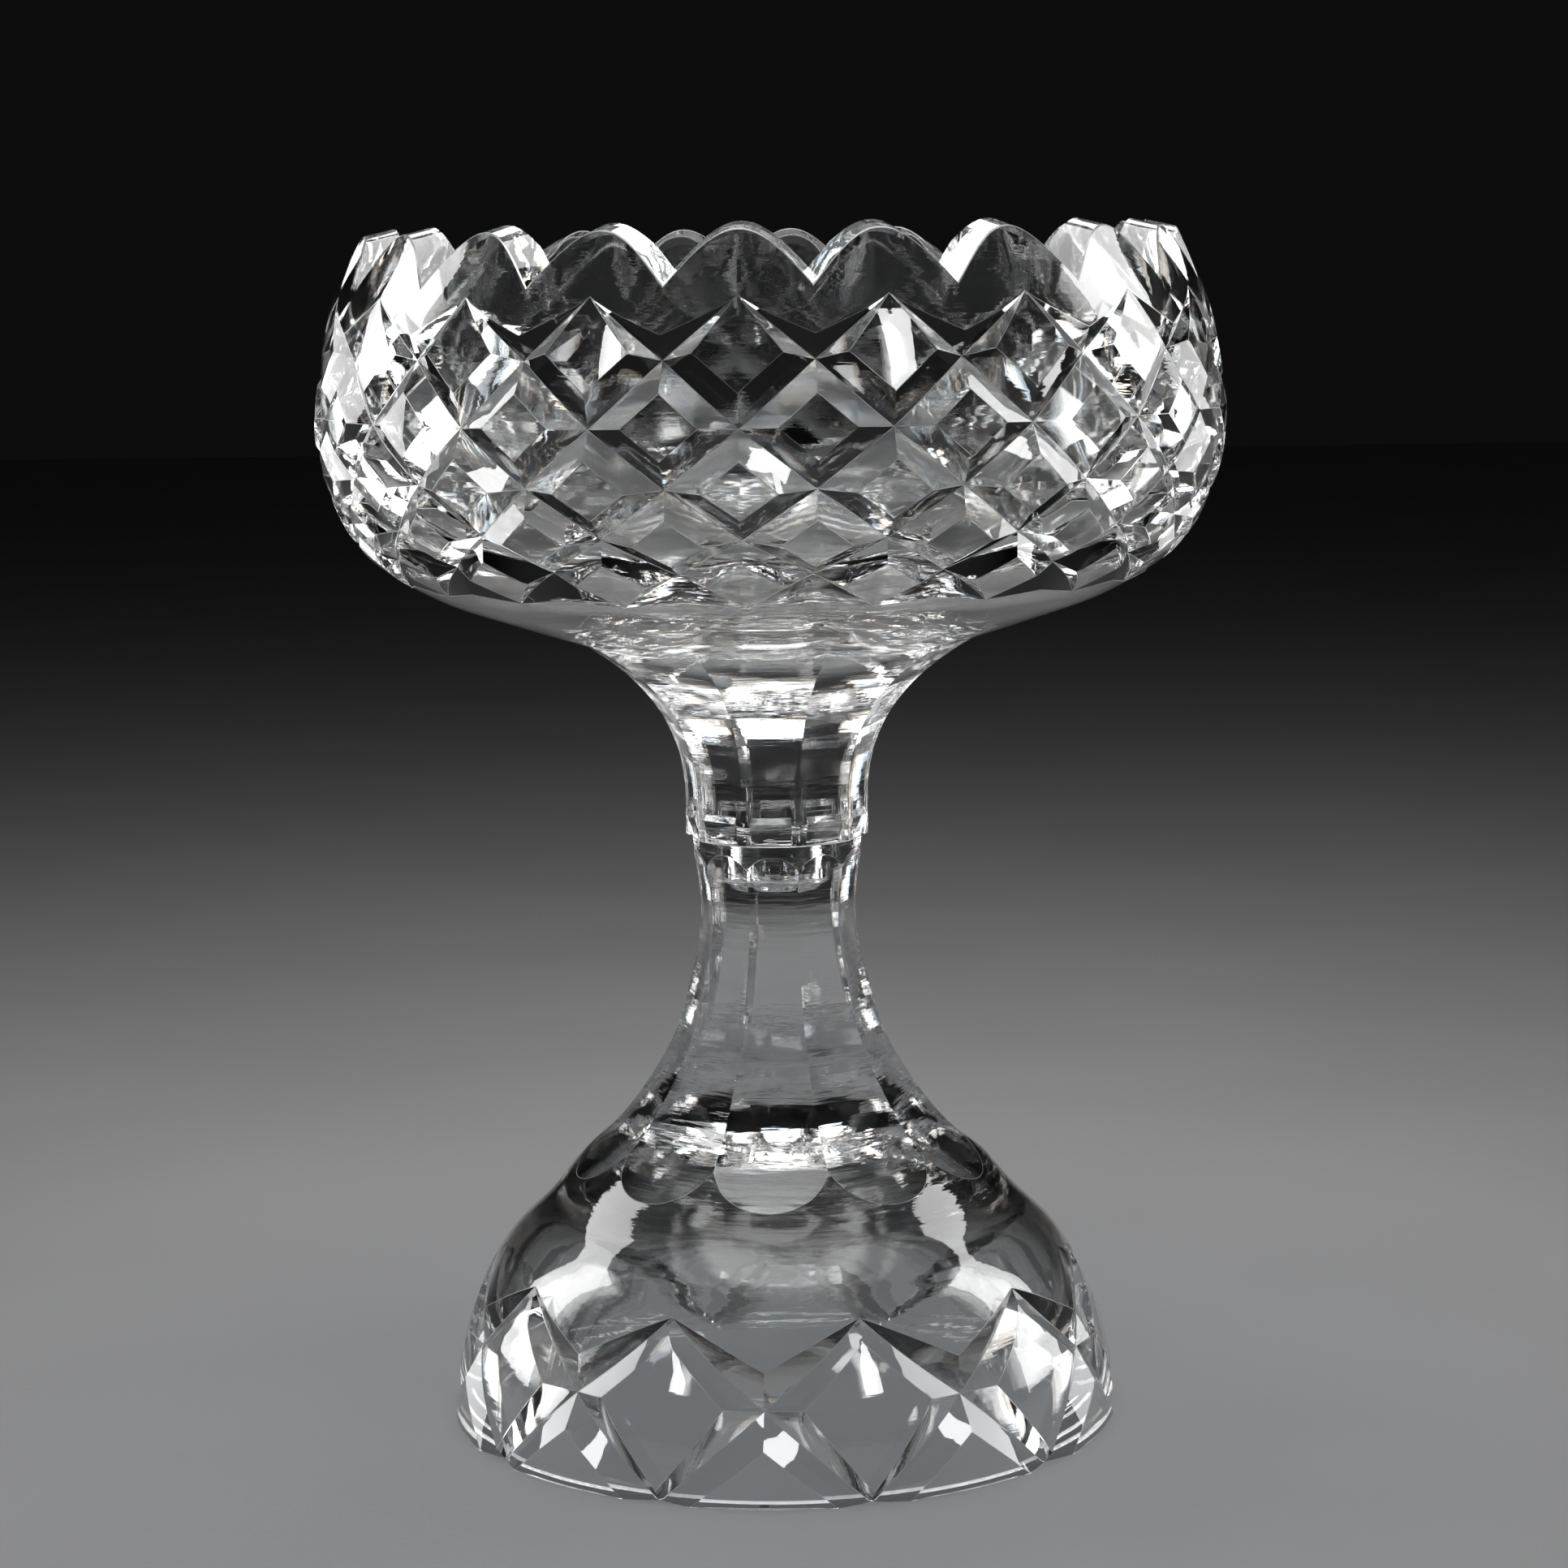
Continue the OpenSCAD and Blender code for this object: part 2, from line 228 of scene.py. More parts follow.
def smooth_line(points, steps):
    """A smooth curve through every point, with steps pieces between each two."""
    p = np.array(points, float)
    gap = np.linalg.norm(np.diff(p, axis=0), axis=1)
    chord = np.diff(p, axis=0) / gap[:, None]
    slope = np.empty_like(p)
    slope[0], slope[-1] = chord[0], chord[-1]
    before, after = gap[:-1, None], gap[1:, None]
    slope[1:-1] = (chord[:-1] * after + chord[1:] * before) / (before + after)
    t = np.arange(steps)[:, None] / steps
    pieces = []
    for i, d in enumerate(gap):
        pieces.append(
            p[i] * (2 * t**3 - 3 * t**2 + 1)
            + slope[i] * d * (t**3 - 2 * t**2 + t)
            + p[i + 1] * (3 * t**2 - 2 * t**3)
            + slope[i + 1] * d * (t**3 - t**2)
        )
    return np.vstack(pieces + [p[-1:]])


class Outline:
    """A line of [radius, height] points that rises all the way, read by height."""

    def __init__(self, line):
        line = np.array(line, float)
        self.line = line[np.argsort(line[:, 1])]

    def radius(self, z):
        return np.interp(z, self.line[:, 1], self.line[:, 0])

    def normal(self, z):
        step = 0.4 * MM
        low, high = self.line[0, 1], self.line[-1, 1]
        above, below = np.clip(z + step, low, high), np.clip(z - step, low, high)
        lean = (self.radius(above) - self.radius(below)) / (above - below)
        size = np.sqrt(1 + lean**2)
        return 1 / size, -lean / size

    def inset(self, z, depth):
        """Radius and height of the point that lies depth below the line at height z."""
        n_r, n_z = self.normal(z)
        return self.radius(z) - depth * n_r, z - depth * n_z


def turned(a, r, z):
    """Points at angle a from the front, at radius r and height z, as one array."""
    a, r, z = np.broadcast_arrays(a, r, z)
    return np.stack([r * np.sin(a), -r * np.cos(a), z], axis=-1)


# ---- Surfaces made of rows that go once round the axis ----


COLUMNS = 480
ANGLES = np.arange(COLUMNS) * math.tau / COLUMNS


def off_middle(count):
    """Where each column lies in its sector, of count: 0 in the middle, 1 at the edge. One faces the front."""
    turns = ANGLES * count / math.tau
    return np.abs(turns - np.round(turns)) * 2


def row(r, z):
    """A row of [radius, height], one for each column."""
    return np.stack(np.broadcast_arrays(r, z, ANGLES)[:2], axis=-1)


def meet(first, second, low, high):
    """The height from low to high at which first(z), the smaller at low, overtakes second(z), by column."""
    low, high = np.full(COLUMNS, low), np.full(COLUMNS, high)
    for _ in range(40):
        middle = (low + high) / 2
        before = first(middle) < second(middle)
        low, high = np.where(before, middle, low), np.where(before, high, middle)
    return middle


class Skin:
    """A closed surface, from a point on the axis over rows of points to another point on the axis."""

    # A soft edge takes up at most this part of the way to the next row
    MAX_PART = 0.4

    def __init__(self, z):
        self.rows = [row(0, z)]
        self.edges = [0]

    def straight(self, end, steps=1, edge=0):
        """Goes straight on to the row end; edge is the width of the soft edge there."""
        start = self.rows[-1]
        for i in range(1, steps + 1):
            self.rows.append(mix(start, end, i / steps))
            self.edges.append(edge if i == steps else 0)

    def follow(self, radius, z, steps, edge=0):
        """Goes on to height z, at the radius that radius(z) gives."""
        start = self.rows[-1][:, 1]
        for i in range(1, steps + 1):
            step_z = mix(start, z, i / steps)
            self.rows.append(row(radius(step_z), step_z))
            self.edges.append(edge if i == steps else 0)

    def through(self, line, edge=0):
        """Goes on through each [radius, height] of a line."""
        for r, z in line:
            self.straight(row(r, z))
        self.soften(edge)

    def soften(self, edge):
        """Gives the last row a soft edge of this width."""
        self.edges[-1] = edge

    def with_facets(self):
        """The rows, with each edge split in two to make a narrow facet, and which rows start a facet."""
        rows = []
        facets = set()
        for i, (here, edge) in enumerate(zip(self.rows, self.edges)):
            if edge == 0:
                rows.append(here)
                continue
            facets.add(len(rows))
            for near in (self.rows[i - 1], self.rows[i + 1]):
                gap = np.linalg.norm(near - here, axis=1, keepdims=True)
                part = np.minimum(edge / np.maximum(gap, edge), self.MAX_PART)
                rows.append(mix(here, near, part))
        return rows, facets

    def build(self, name):
        """Makes the object. Points of a column that fall together become one."""
        rows, facets = self.with_facets()
        same = 0.002 * MM  # points of a column closer than this are one
        points = [turned(0, 0, rows[0][0, 1])]
        index = [np.zeros(COLUMNS, int)]
        last = rows[0]
        count = 1
        for here in rows[1:-1]:
            new = np.linalg.norm(here - last, axis=1) > same
            numbers = index[-1].copy()
            numbers[new] = count + np.arange(new.sum())
            count += new.sum()
            points.extend(turned(ANGLES[new], here[new, 0], here[new, 1]))
            index.append(numbers)
            last = np.where(new[:, None], here, last)
        index.append(np.full(COLUMNS, count))
        points.append(turned(0, 0, rows[-1][0, 1]))
        faces = []
        finishes = []
        for m, (upper, lower) in enumerate(zip(index[:-1], index[1:])):
            sides = np.stack([upper, lower, np.roll(lower, -1), np.roll(upper, -1)], axis=-1)
            for side in sides.tolist():
                ring = [v for i, v in enumerate(side) if v != side[i - 1]]
                if len(ring) > 2:
                    faces.append(ring)
                    finishes.append(EDGE_FINISH if m in facets else FACE_FINISH)
        mesh = bpy.data.meshes.new(name)
        mesh.from_pydata(np.array(points).tolist(), [], faces)
        mesh.polygons.foreach_set("material_index", finishes)
        mesh.shade_smooth()
        mesh.set_sharp_from_angle(angle=CREASE)
        piece = bpy.data.objects.new(name, mesh)
        bpy.context.scene.collection.objects.link(piece)
        return piece


# ---- Flutes ----


def flute_flat(r, flutes):
    """Distance from the axis to flat flutes whose edges stand just inside a blank of radius r."""
    return r * math.cos(math.pi / flutes) - FLUTE_SINK


def fluted(line, flutes):
    """Radius by height on flutes that are as far from the axis as a line says."""
    flat = Outline(line)
    across = off_middle(flutes)
    angle = across * math.pi / flutes
    return lambda z: flat.radius(z) / np.cos(angle) - FLUTE_HOLLOW * (1 - across**2)


# ---- Bowl ----


class Lattice:
    """The diamond cuts of the bowl: each row of crossings has its own height."""

    # Heights of the rows, from the upper tips down to the lower ones, as parts of neck edge to rim
    PARTS = [0.854, 0.717, 0.563, 0.417, 0.296, 0.206, 0.146]
    # Where the side corners of the outermost diamonds lie, across and beyond their row
    OUTER_SIDE = 7 / 12
    OUTER_LIFT = 1 / 12
    # Depth, in rows, and bend of the zigzag under the rim, and depth of the lowest chevrons
    ZIGZAG, ZIGZAG_BEND = 0.62, 0.85
    CHEVRON = 0.25

    def __init__(self, sizes, blank):
        self.blank = blank
        self.cut = sizes.cut
        self.low, self.high = JOINT_Z + sizes.neck_height, JOINT_Z + sizes.rim_height
        self.x = off_middle(sizes.diamonds)
        self.last = len(self.PARTS) - 1

    def height(self, level):
        part = np.interp(level, range(len(self.PARTS)), self.PARTS)
        return mix(self.low, self.high, part)

    def point(self, level, depth):
        return row(*self.blank.inset(self.height(level), self.cut * depth))

    def valley(self, k):
        """Level and depth of the cut between rows k and k + 1, which fades out at the outermost tips."""
        level = k + self.x if k % 2 == 0 else k + 1 - self.x
        return level, self.x if k in (0, self.last - 1) else np.ones(COLUMNS)

    def table(self, k):
        """Upper and lower edge of row k's uncut diamonds, each as level and depth."""
        s = self.x if k % 2 == 1 else 1 - self.x
        above, below, side, lift = 0.5, 0.5, 0.5, 0.0
        if k == 1:
            above, side, lift = 1.0, self.OUTER_SIDE, -self.OUTER_LIFT
        if k == self.last - 1:
            below, side, lift = 1.0, self.OUTER_SIDE, self.OUTER_LIFT
        inner = np.minimum(s / side, 1)
        outer = np.maximum((s - side) / (1 - side), 0)
        ridge = lift * (1 - outer)
        on_table = s < side
        upper = k + np.where(on_table, mix(-above, lift, inner), ridge)
        lower = k + np.where(on_table, mix(below, lift, inner), ridge)
        return upper, lower, outer

    def cut_down(self, skin):
        """Adds the rows of the cut wall, from the zigzag under the rim down to the lowest chevrons."""
        zigzag = self.ZIGZAG * self.x**self.ZIGZAG_BEND
        skin.follow(self.blank.radius, self.height(zigzag), 7, CUT_EDGE)
        for k in range(self.last):
            skin.straight(self.point(*self.valley(k)), 2, CUT_EDGE)
            if k + 1 < self.last:
                upper, lower, depth = self.table(k + 1)
                skin.straight(self.point(upper, depth), 2, CUT_EDGE)
                for t in (0.25, 0.5, 0.75, 1):
                    skin.straight(self.point(mix(upper, lower, t), depth))
                skin.soften(CUT_EDGE)
        skin.straight(self.point(self.last - self.CHEVRON * self.x, 0), 2, CUT_EDGE)


def bowl_blank(sizes):
    """The bowl's outside before cutting, carried on below the neck's edge."""
    neck_z, belly_z, rim_z = (
        JOINT_Z + h for h in (sizes.neck_height, sizes.belly_height, sizes.rim_height)
    )

    def low(part_r, part_z):
        return [mix(sizes.neck_top, sizes.width, part_r) / 2, mix(neck_z, belly_z, part_z)]

    def high(part_r, part_z):
        return [mix(sizes.rim_width, sizes.width, part_r) / 2, mix(belly_z, rim_z, part_z)]

    wall = smooth_line(
        [low(0, 0), low(0.24, 0.09), low(0.56, 0.23), low(0.82, 0.44), low(0.95, 0.72)]
        + [low(1, 1), high(0.9, 0.27), high(0.6, 0.64), high(0, 1)],
        16,
    )
    first = wall[1] - wall[0]
    inner = wall[0] - first * (0.12 * sizes.neck_top / first[0])
    return Outline(np.vstack([[inner], wall]))


def bowl_hollow(sizes, blank):
    """The bowl's inside, from the axis up to above the rim."""
    rim_z = JOINT_Z + sizes.rim_height
    bottom_z = JOINT_Z + sizes.neck_height + sizes.floor
    wall = []
    for r, z in blank.line:
        if r > 0.3 * sizes.width:
            n_r, n_z = blank.normal(min(z, rim_z - MM))
            wall.append([r - sizes.wall * n_r, z - sizes.wall * n_z])
    floor = smooth_line([[0, bottom_z], [0.15 * sizes.width, bottom_z + 1.6 * MM], wall[0]], 14)
    top = [wall[-1][0], rim_z + sizes.scallop]
    return np.vstack([floor, wall[1:], [top]])


def neck_line(sizes, stand):
    """The short stem under the bowl, before its flutes."""

    def neck(part_r, part_z):
        return [mix(sizes.neck, sizes.neck_top, part_r) / 2, JOINT_Z + part_z * sizes.neck_height]

    collar = [
        [stand.joint / 2, JOINT_Z],
        [stand.joint / 2 + 0.4 * MM, JOINT_Z + 2.4 * MM],
        [sizes.neck / 2 - 0.1 * MM, JOINT_Z + 7 * MM],
        [sizes.neck / 2 + 0.2 * MM, JOINT_Z + 16 * MM],
    ]
    flare = [neck(0.06, 0.43), neck(0.18, 0.59), neck(0.42, 0.765), neck(0.755, 0.915), neck(1, 1)]
    past = [sizes.neck_top / 2 + 3.2 * MM, JOINT_Z + sizes.neck_height + 2 * MM]
    return smooth_line(collar + flare + [past], 10)


def domed(r, z, height, steps):
    """A shallow dome from the axis at height z out to radius r, height above or below."""
    ball = (r**2 + height**2) / (2 * abs(height))
    line = []
    for i in range(1, steps + 1):
        at = r * i / steps
        line.append([at, z + math.copysign(ball - math.sqrt(ball**2 - at**2), height)])
    return line


def scallop_rim(skin, sizes, blank, hollow):
    """Adds the inside and the scalloped rim, whose face rises inwards until it meets the inside."""
    inside = Outline(hollow)
    x = off_middle(sizes.diamonds)
    rim_z = JOINT_Z + sizes.rim_height
    edge_z = rim_z - sizes.scallop * (1 - np.cos(x * math.pi / 2))
    edge_r = blank.radius(edge_z)
    rise = sizes.rim_rise * (1 + 0.6 * x**2)
    face = np.full(COLUMNS, sizes.wall)
    for _ in range(8):
        face = edge_r - inside.radius(edge_z + rise * face)

    # Up to here the inside is the same all round
    shared_z = JOINT_Z + 0.8 * sizes.rim_height
    skin.through([p for p in hollow[1::2] if p[1] < shared_z])
    skin.follow(inside.radius, edge_z + rise * face, 8, RIM_EDGE)
    skin.straight(row(edge_r, edge_z), 3, RIM_EDGE)


def flute_neck(skin, sizes, stand, blank):
    """Adds the underside and the fluted neck down to the seat."""
    line = neck_line(sizes, stand)
    neck = Outline(line)
    high = [[flute_flat(r, stand.flutes), z] for r, z in line if z > JOINT_Z + 14 * MM]
    flute = fluted([[flute_flat(sizes.neck / 2, stand.flutes), JOINT_Z - MM]] + high, stand.flutes)
    neck_z = JOINT_Z + sizes.neck_height
    kink_z = meet(blank.radius, flute, neck_z - 9 * MM, neck_z + MM)
    skin.follow(blank.radius, kink_z, 14, CUT_EDGE)
    end_z = meet(flute, neck.radius, JOINT_Z + 0.3 * MM, JOINT_Z + 9 * MM)
    skin.follow(flute, end_z, 44, CUT_EDGE)
    skin.follow(neck.radius, JOINT_Z + SEAT_GAP, 5, JOINT_EDGE)


def add_peg(skin, sizes):
    """Adds the seat and the peg with its domed end."""
    peg_r = sizes.peg / 2
    skin.straight(row(peg_r, JOINT_Z + SEAT_GAP), 3)
    dome = domed(peg_r, PEG_END_Z, DOME_H, 7)
    skin.straight(row(*dome[-1]), 3, JOINT_EDGE)
    skin.through(dome[-2::-1] + [[0, PEG_END_Z]])


def make_bowl(sizes, stand):
    """The bowl, from the middle of its inside over the rim and down the outside to the end of the peg."""
    blank = bowl_blank(sizes)
    hollow = bowl_hollow(sizes, blank)
    skin = Skin(hollow[0, 1])
    scallop_rim(skin, sizes, blank, hollow)
    Lattice(sizes, blank).cut_down(skin)
    flute_neck(skin, sizes, stand, blank)
    add_peg(skin, sizes)
    return skin.build("cut_bowl")


# ---- Stand ----


def stand_outline(sizes):
    """The stand's outside before cutting."""

    def bell(part_r, part_z):
        return [mix(sizes.waist, sizes.foot, part_r) / 2, part_z * JOINT_Z]

    foot = [bell(1, 0), bell(0.966, 0.12), bell(0.9, 0.207), bell(0.787, 0.299), bell(0.615, 0.375)]
    flare = [bell(0.48, 0.446), bell(0.317, 0.516), bell(0.208, 0.58), bell(0.103, 0.663)]
    stem = [bell(0.046, 0.75), bell(0.01, 0.815), bell(0, 0.89)]
    top = [[sizes.joint / 2 - 0.7 * MM, JOINT_Z - 9 * MM], [sizes.joint / 2, JOINT_Z]]
    return Outline(smooth_line(foot + flare + stem + top, 12))


class FootCuts:
    """The long mitre cuts round the foot, which cross half way down."""

    # Levels: 0 is at the cuts' upper points, 1 at their crossings, 2 on the floor.
    # Upper and lower tips of the uncut diamonds
    TIPS = 0.27, 1.87
    # Where those diamonds' side corners lie, from 0 at their middle to 1 at the crossings
    DIAMOND_SIDE = 15 / 24
    # Level of the upper tips of the half diamonds on the floor, and half of their width
    HALF_TIP = 1.4
    HALF_WIDTH = 8 / 24
    # Depth, as a level, and bend of the edge above the cuts
    ARCH, ARCH_BEND = 0.56, 1.14

    def __init__(self, sizes, blank):
        self.blank = blank
        self.cut = sizes.cut
        self.heights = [sizes.cut_top, sizes.cut_cross, 0]
        # 0 below the cuts' upper points and 1 at the crossings
        self.x = 1 - off_middle(sizes.flutes)

    def height(self, level):
        return np.interp(level, range(3), self.heights)

    def point(self, level, depth):
        r, z = self.blank.inset(self.height(level), self.cut * depth)
        return row(r, np.maximum(z, 0))

    def cut_down(self, skin):
        """Adds the rows from the plain bell down to the floor."""
        x = self.x
        skin.follow(self.blank.radius, self.height(self.ARCH * x**self.ARCH_BEND), 16, CUT_EDGE)
        skin.straight(self.point(x, 1 - (1 - x) ** 2), 3, CUT_EDGE)
        side = self.DIAMOND_SIDE
        inner = np.minimum(x / side, 1)
        ridge = np.maximum((x - side) / (1 - side), 0)
        upper, lower = (mix(tip, 1, inner) for tip in self.TIPS)
        skin.straight(self.point(upper, ridge), 3, CUT_EDGE)
        for t in np.arange(1, 8) / 7:
            skin.straight(self.point(mix(upper, lower, t), ridge))
        skin.soften(CUT_EDGE)
        skin.straight(self.point(2 - x, 1), 3, CUT_EDGE)
        outer = np.minimum((1 - x) / (1 - self.HALF_WIDTH), 1)
        open_end = np.maximum(1 - x / self.HALF_WIDTH, 0)
        top = mix(self.HALF_TIP, 2, outer)
        skin.straight(self.point(top, open_end), 3, CUT_EDGE)
        for t in (0.25, 0.5, 0.75):
            skin.straight(self.point(mix(top, 2, t), open_end))
        skin.straight(self.point(2, open_end), 1, FOOT_EDGE)


def foot_hollow(sizes, blank):
    """The inside of the foot, from the floor up to the axis."""
    wall = []
    for r, z in blank.line:
        if z < 0.7 * sizes.hollow:
            n_r, n_z = blank.normal(max(z, MM))
            wall.append([r - sizes.wall * n_r, z - sizes.wall * n_z])
    last_r, last_z = wall[-1]
    crown = smooth_line(
        [
            [last_r, last_z],
            [0.72 * last_r, mix(last_z, sizes.hollow, 0.5)],
            [0.4 * last_r, mix(last_z, sizes.hollow, 0.87)],
            [0, sizes.hollow],
        ],
        9,
    )
    side = [p for p in wall[1:-1] if p[1] > MM]
    return np.vstack([[[sizes.foot / 2 - sizes.wall, 0]], side[::2], crown])


def add_socket(skin, sizes, socket_r, socket_z):
    """Adds the socket, from its domed bottom up, and the seat round it."""
    skin.through(domed(socket_r, socket_z, DOME_H, 7), JOINT_EDGE)
    skin.straight(row(socket_r, JOINT_Z), 3, JOINT_EDGE)
    skin.straight(row(sizes.joint / 2, JOINT_Z), 3, JOINT_EDGE)


def flute_stem(skin, sizes, blank):
    """Adds the fluted stem: the flutes start just below the joint and run out on the bell."""
    run_out_r = float(blank.radius(RUN_OUT_Z))
    stem = [[flute_flat(r, sizes.flutes), z] for r, z in blank.line if EDGE_END_Z < z < JOINT_Z - 8 * MM]
    lean = (run_out_r - stem[0][0]) / (stem[0][1] - RUN_OUT_Z)
    below = [run_out_r + lean * 9 * MM, RUN_OUT_Z - 9 * MM]
    above = [[sizes.joint / 2 - 0.1 * MM, JOINT_Z - 3.6 * MM], [sizes.joint / 2 + 3 * MM, JOINT_Z - MM]]
    flute = fluted([below, [run_out_r, RUN_OUT_Z]] + stem + above, sizes.flutes)
    top_z = meet(flute, blank.radius, JOINT_Z - 9 * MM, JOINT_Z - 2 * MM)
    low_z = meet(lambda z: -flute(z), lambda z: -blank.radius(z), RUN_OUT_Z - 6 * MM, EDGE_END_Z + 2 * MM)
    skin.follow(blank.radius, top_z, 6, CUT_EDGE)
    skin.follow(flute, low_z, 56, CUT_EDGE)


def make_stand(sizes, bowl):
    """The stand, from the socket's bottom down the outside to the floor and up into the hollow foot."""
    blank = stand_outline(sizes)
    socket_z = PEG_END_Z - PEG_GAP
    skin = Skin(socket_z)
    add_socket(skin, sizes, bowl.peg / 2 + PEG_GAP, socket_z)
    flute_stem(skin, sizes, blank)
    FootCuts(sizes, blank).cut_down(skin)

    hollow = foot_hollow(sizes, blank)
    skin.straight(row(*hollow[0]), 2, FOOT_EDGE)
    skin.through(hollow[1:])
    return skin.build("fluted_stand")


# ---- Glass ----


# Radii over which the ripples of the stems fade out, and heights over which they come in and fade out again
RIPPLES_OUT = 0.058, 0.085
RIPPLES_LOW = 0.062, 0.082
RIPPLES_HIGH = 0.236, 0.25
# The two glasses that make the fire: each one's colour, and how far its index lies from the middle
FIRE_GLASSES = ((1.0, 0.86, 0.72), -0.5), ((0.72, 0.86, 1.0), 0.5)


class Socket:
    """The output of a node. Calculating with it adds Math nodes."""

    def __init__(self, shader, source):
        self.shader = shader
        self.source = source

    def math(self, operation, *values):
        return self.shader.node("ShaderNodeMath", {"operation": operation}, dict(enumerate(values)))

    def __add__(self, other):
        return self.math("ADD", self, other)

    def __radd__(self, other):
        return self.math("ADD", other, self)

    def __rsub__(self, other):
        return self.math("SUBTRACT", other, self)

    def __mul__(self, other):
        return self.math("MULTIPLY", self, other)

    def __rmul__(self, other):
        return self.math("MULTIPLY", other, self)

    def __pow__(self, other):
        return self.math("POWER", self, other)

    def between(self, low, high):
        """0 below low and 1 above high."""
        inputs = {"Value": self, "From Min": low, "From Max": high}
        return self.shader.node("ShaderNodeMapRange", {"interpolation_type": "SMOOTHSTEP"}, inputs)


class Shader:
    """The nodes of one new material."""

    def __init__(self, name):
        self.material = bpy.data.materials.new(name)
        self.material.use_nodes = True
        self.tree = self.material.node_tree
        self.tree.nodes.clear()

    def node(self, kind, settings, inputs, output=0):
        """Adds a node and gives one of its outputs."""
        node = self.tree.nodes.new(kind)
        for name, value in settings.items():
            setattr(node, name, value)
        for name, value in inputs.items():
            if isinstance(value, Socket):
                self.tree.links.new(value.source, node.inputs[name])
            else:
                node.inputs[name].default_value = value
        return Socket(self, node.outputs[output])

    def finish(self, surface):
        output = self.tree.nodes.new("ShaderNodeOutputMaterial")
        self.tree.links.new(surface.source, output.inputs["Surface"])
        return self.material

    def position(self):
        """Where a point lies on the object."""
        return self.node("ShaderNodeTexCoord", {}, {}, "Object")

    def place(self):
        """A point's position on the object, its distance from the axis and its height."""
        position = self.position()
        x, y, z = (self.node("ShaderNodeSeparateXYZ", {}, {"Vector": position}, axis) for axis in "XYZ")
        return position, (x * x + y * y) ** 0.5, z

    def noise(self, position, stretch, scale, detail):
        """Smooth noise from 0 to 1, in features of about 1 / scale metres."""
        stretched = self.node(
            "ShaderNodeVectorMath", {"operation": "MULTIPLY"}, {0: position, 1: stretch}
        )
        inputs = {"Vector": stretched, "Scale": scale, "Detail": detail}
        return self.node("ShaderNodeTexNoise", {}, inputs, "Fac")

    def bump(self, height, depth, normal=None):
        """Tilts the surface as height from 0 to 1 says, which is depth metres."""
        inputs = {"Height": height, "Distance": depth, "Strength": 1.0}
        if normal is not None:
            inputs["Normal"] = normal
        return self.node("ShaderNodeBump", {}, inputs, "Normal")


def cut_crystal(name, finish, wear):
    """Clear polished crystal: wheel ripples on the stems, faint waves all over, scuffs under the foot."""
    shader = Shader(name)
    position, radius, z = shader.place()

    # The flutes of both stems keep level ripples from the polishing wheel, which show much less elsewhere
    stem = (1 - radius.between(*RIPPLES_OUT)) * z.between(*RIPPLES_LOW) * (1 - z.between(*RIPPLES_HIGH))
    ripple = shader.noise(position, (1, 1, 14), 26, 3)
    waves = shader.noise(position, (1, 1, 1), 34, 1)
    normal = shader.bump(waves, 0.10 * MM)
    normal = shader.bump(ripple * (0.12 + 0.88 * stem), 0.3 * MM, normal)

    # A little smear in patches, and fine wear on the ring that the foot stands on
    smear = shader.noise(position, (1, 1, 1), 60, 4).between(0.5, 0.72)
    worn = (1 - z.between(0.1 * MM, 0.9 * MM)) * shader.noise(position, (1, 1, 1), 900, 3).between(0.3, 0.7)
    roughness = smear * finish.smear + worn * 0.3 + wear

    # Two glasses that bend light by a little less and a little more give the fire at the edges. They are
    # further apart than real crystal's colours: being mixed anew at each surface evens them out.
    warm, cool = (
        shader.node(
            "ShaderNodeBsdfPrincipled",
            {},
            {
                "Base Color": tuple(a * b for a, b in zip(finish.tint, cast)) + (1,),
                "Roughness": roughness,
                "IOR": finish.ior + part * finish.fire,
                "Transmission Weight": 1.0,
                "Normal": normal,
            },
        )
        for cast, part in FIRE_GLASSES
    )
    glass = shader.node("ShaderNodeMixShader", {}, {0: 0.5, 1: warm, 2: cool})

    # Light reaches through the glass, so that its shadow is a pale one
    shadow = shader.node("ShaderNodeBsdfTransparent", {}, {"Color": (0.86, 0.87, 0.88, 1)})
    is_shadow = shader.node("ShaderNodeLightPath", {}, {}, "Is Shadow Ray")
    both = shader.node("ShaderNodeMixShader", {}, {0: is_shadow, 1: glass, 2: shadow})
    return shader.finish(both)


def finish_glass(piece, body, node):
    """Gives a piece its glass, and ties it to its body in the frame."""
    finish = bpy.context.scene.crystal_finish
    for name, wear in (("cut_crystal", 0.0), ("worn_edge", finish.edge_wear)):
        material = bpy.data.materials.get(name) or cut_crystal(name, finish, wear)
        piece.data.materials.append(material)
    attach(piece, body)
    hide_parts(node)


# ---- Stage ----


def studio_floor(colour):
    """A wide floor of smooth matt board."""
    shader = Shader("studio_floor")
    position = shader.position()
    grain = shader.noise(position, (1, 1, 1), 240, 4)
    patch = shader.noise(position, (1, 1, 1), 5, 2).between(0.3, 0.7)
    darker = tuple(0.94 * c for c in colour)
    base = shader.node(
        "ShaderNodeMix",
        {"data_type": "RGBA"},
        {"Factor": patch, "A": (*colour, 1), "B": (*darker, 1)},
        "Result",
    )
    inputs = {"Base Color": base, "Roughness": 0.75, "Normal": shader.bump(grain, 0.2 * MM)}
    board = shader.node("ShaderNodeBsdfPrincipled", {}, inputs)
    return shader.finish(board)


